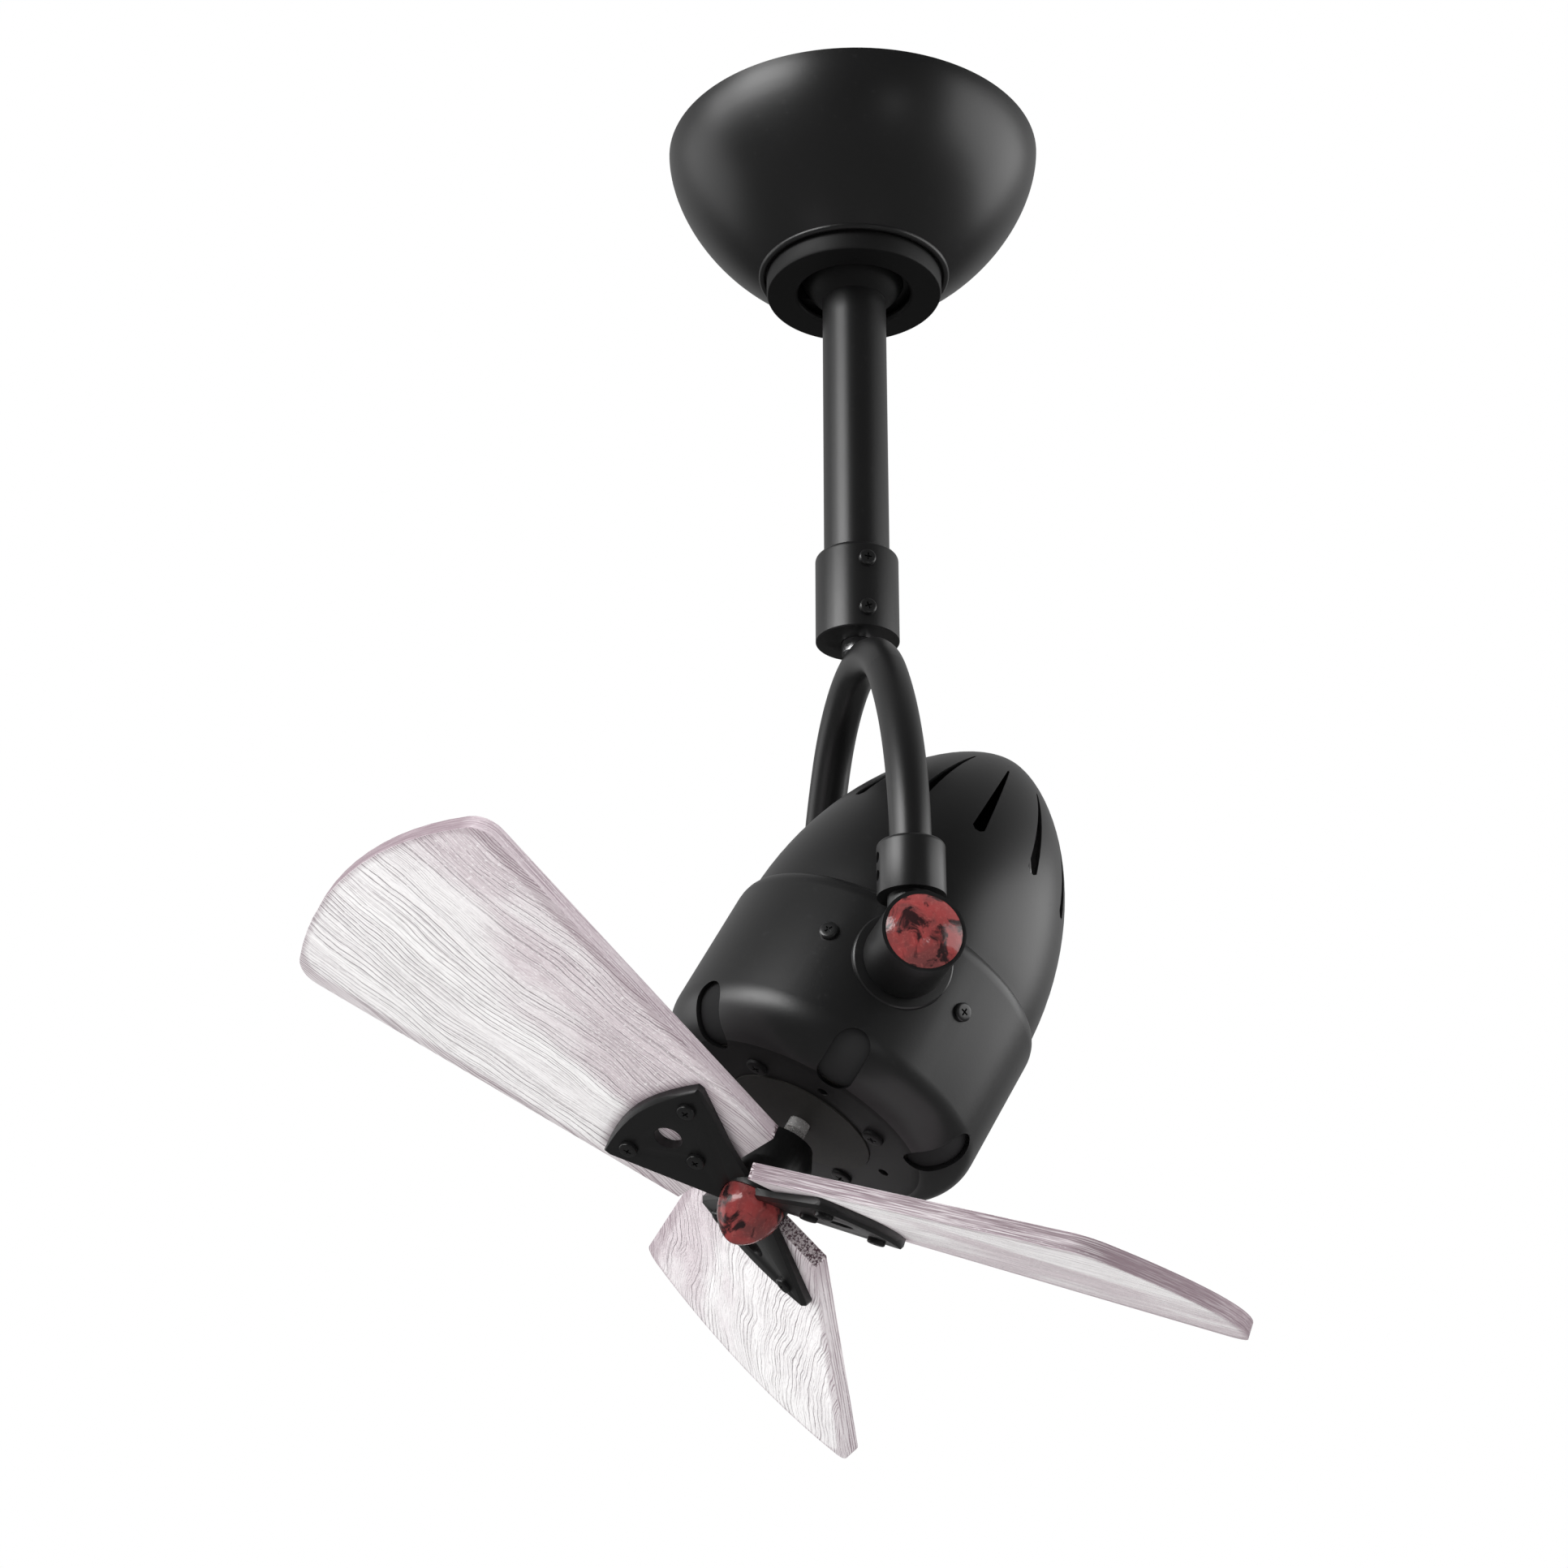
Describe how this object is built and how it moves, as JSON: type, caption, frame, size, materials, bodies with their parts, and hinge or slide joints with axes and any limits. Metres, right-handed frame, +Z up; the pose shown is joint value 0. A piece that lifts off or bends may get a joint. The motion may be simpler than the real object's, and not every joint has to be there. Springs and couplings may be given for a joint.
{
  "type": "oscillating ceiling fan",
  "caption": "Small ceiling fan on a short downrod: a bullet-shaped motor head tilts in a bent-tube yoke, the yoke swings from side to side, and pitched wooden blades turn under it.",
  "frame": {"origin": "on the ceiling plane, on the downrod's axis, midway between the bracket's two screw slots", "axes": "+Z up, out of the ceiling bracket's top face; +X along the head's tilt axis and the line of the two slots; the head faces down and towards -Y"},
  "size_m": [0.3383, 0.3179, 0.5078],
  "materials": {
    "black_metal": "satin black paint, fine orange peel",
    "black_trim": "matte black paint",
    "black_screw": "black oxide",
    "bracket_steel": "zinc plated sheet",
    "bright_steel": "ground",
    "dark_steel": "spring steel",
    "gearmotor_can": "plated can",
    "sleeve_alu": "turned",
    "bell_alu": "dark grey cast",
    "core_steel": "stacked laminations",
    "cage_alu": "die cast",
    "copper_wire": "varnished",
    "capacitor_case": "moulded",
    "lead_cover": "smooth",
    "friction_fibre": "fibre",
    "red_cap": "clear dark red, mottled",
    "blade_wood": "whitewashed, fine dark grain"
  },
  "bodies": {
    "ceiling": {"ceiling_bracket": "bracket_steel", "canopy": "black_metal", "canopy_screws": "black_screw", "canopy_ring": "black_trim"},
    "rod": {"hanger_ball": "black_trim", "ball_pin": "bright_steel", "ball_set_screw": "dark_steel", "downrod": "black_metal", "coupling_collar": "black_metal", "collar_screws": "black_screw", "oscillation_motor": "gearmotor_can", "gearmotor_mount": "sleeve_alu", "swivel_housing": "sleeve_alu", "swivel_outer_races": "bright_steel", "swivel_balls": "bright_steel", "bearing_spacer": "sleeve_alu", "rod_lead": "lead_cover"},
    "yoke": {"output_shaft": "bright_steel", "swivel_inner_races": "bright_steel", "swivel_clip": "dark_steel", "swivel_shaft": "bright_steel", "yoke": "black_metal", "socket_right": "black_metal", "socket_left": "black_metal", "socket_screws": "black_screw", "pivot_cap_right": "red_cap", "pivot_cap_left": "red_cap", "yoke_lead": "lead_cover"},
    "head": {"pivot_bolts": "bright_steel", "pivot_washers": "bright_steel", "pivot_springs": "dark_steel", "friction_washers": "friction_fibre", "pivot_plates": "bracket_steel", "front_housing": "black_metal", "rear_cover": "black_metal", "housing_screws": "black_screw", "front_screws": "black_screw", "motor_front_bell": "bell_alu", "motor_rear_bell": "bell_alu", "motor_through_bolts": "bright_steel", "stator_core": "core_steel", "stator_windings": "copper_wire", "motor_outer_races": "bright_steel", "motor_balls": "bright_steel", "run_capacitor": "capacitor_case", "head_lead": "lead_cover"},
    "rotor": {"motor_inner_races": "bright_steel", "rotor_core": "core_steel", "rotor_end_rings": "cage_alu", "motor_shaft": "bright_steel", "hub": "black_metal", "blade_arms": "black_metal", "blade_1": "blade_wood", "blade_2": "blade_wood", "blade_3": "blade_wood", "blade_screws": "black_screw", "hub_nut": "bright_steel", "hub_cap": "red_cap"}
  },
  "joints": [
    {"name": "hanger_swing", "type": "hinge", "parent": "ceiling", "child": "rod", "pos_m": [0, 0, -0.051], "axis": [0, 1, 0], "range_deg": [-18, 18]},
    {"name": "yoke_swing", "type": "hinge", "parent": "rod", "child": "yoke", "pos_m": [0, 0, -0.21], "axis": [0, 0, 1], "range_deg": [-45, 45]},
    {"name": "head_tilt", "type": "hinge", "parent": "yoke", "child": "head", "pos_m": [0, 0, -0.37213], "axis": [1, 0, 0], "range_deg": [-61, 119]},
    {"name": "rotor_spin", "type": "hinge", "parent": "head", "child": "rotor", "pos_m": [0, 0, -0.37213], "axis": [0, -0.4848, -0.8746], "continuous": true}
  ]
}
